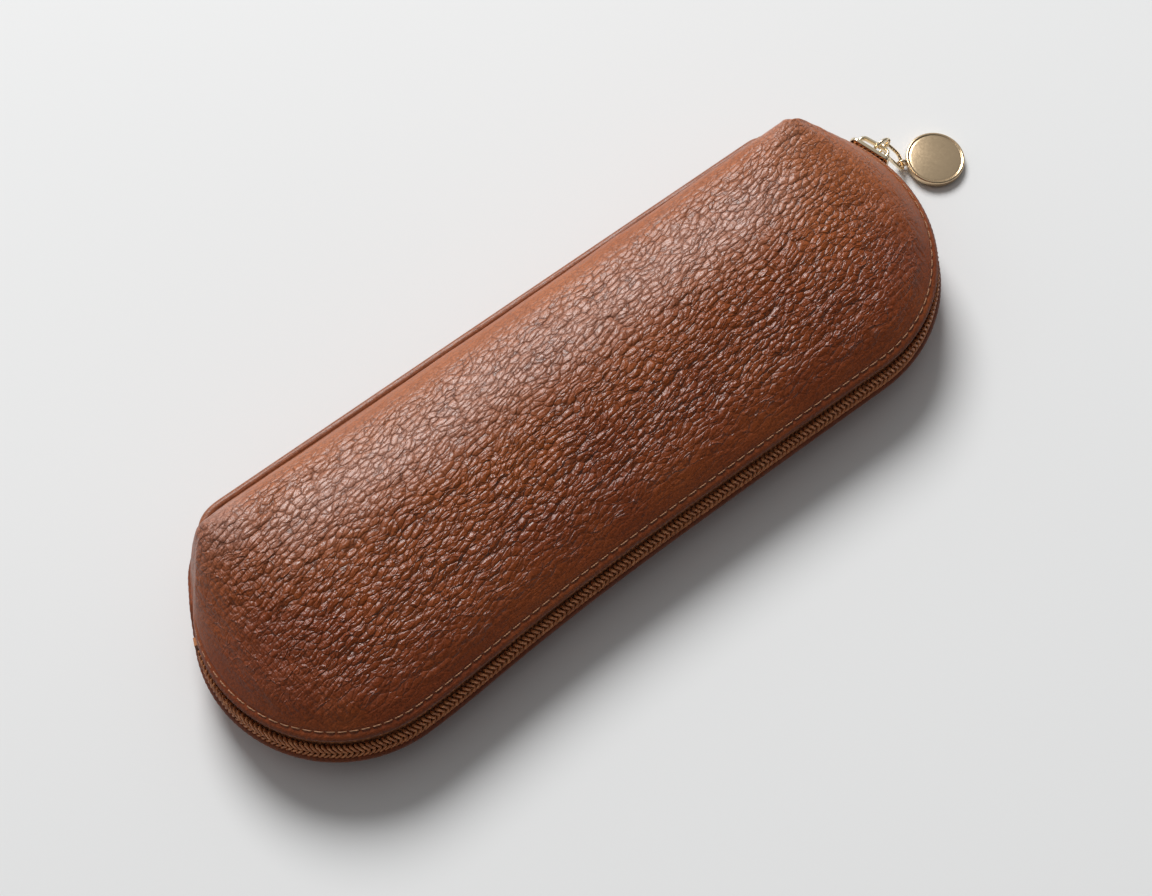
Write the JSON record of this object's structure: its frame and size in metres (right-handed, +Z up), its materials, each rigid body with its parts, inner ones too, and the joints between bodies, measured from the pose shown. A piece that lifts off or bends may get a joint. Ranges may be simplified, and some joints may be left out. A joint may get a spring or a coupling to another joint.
{
  "type": "fountain pen case",
  "caption": "Soft pebbled leather pen case with boxed base corners, a coil zip round three sides and a round metal pull on a link.",
  "frame": {"origin": "centre of the flat underside, on the surface that the case rests on", "axes": "+X along the case towards the parked slider, +Y from the mouth to the base seam, +Z up"},
  "size_m": [0.2349, 0.0742, 0.0334],
  "materials": {
    "leather": "pebbled, semi-gloss tan brown",
    "welt_leather": "smooth rolled leather",
    "lining": "plain woven cotton",
    "zip_tape": "woven polyester tape",
    "zip_coil": "brown nylon coil",
    "thread": "light tan sewing thread",
    "pale_gold": "polished pale gold plate"
  },
  "bodies": {
    "back": {"back_panel": "leather", "back_lining": "lining", "back_tape": "zip_tape", "back_coil": "zip_coil", "back_top_stop": "pale_gold", "back_stitching": "thread", "bottom_stop": "pale_gold", "base_welt": "welt_leather", "welt_cord": "lining"},
    "front": {"front_panel": "leather", "front_lining": "lining", "front_tape": "zip_tape", "front_coil": "zip_coil", "front_top_stop": "pale_gold", "front_stitching": "thread"},
    "slider": {"slider_body": "pale_gold", "slider_bridge": "pale_gold"},
    "ring": {"jump_ring": "pale_gold"},
    "link": {"pull_link": "pale_gold"},
    "disk": {"pull_disk": "pale_gold"}
  },
  "joints": [
    {"name": "front_hinge", "type": "hinge", "parent": "back", "child": "front", "pos_m": [0, 0.035, 0.015], "axis": [-1, 0, 0], "range_deg": [0, 100]},
    {"name": "slider_travel", "type": "hinge", "parent": "back", "child": "slider", "pos_m": [0.06725, 0.00325, 0.013], "axis": [0, 0, -1], "range_deg": [0, 105]},
    {"name": "ring_swing", "type": "hinge", "parent": "slider", "child": "ring", "pos_m": [0.10813, 0.01613, 0.013], "axis": [-0.3227, 0.9465, 0], "range_deg": [-25, 12]},
    {"name": "link_swing", "type": "hinge", "parent": "ring", "child": "link", "pos_m": [0.10947, 0.01592, 0.01148], "axis": [0.4695, 0.8829, 0], "range_deg": [-40, 12]},
    {"name": "disk_swing", "type": "hinge", "parent": "link", "child": "disk", "pos_m": [0.11447, 0.01326, 0.00204], "axis": [0.4695, 0.8829, 0], "range_deg": [-15, 50]}
  ]
}
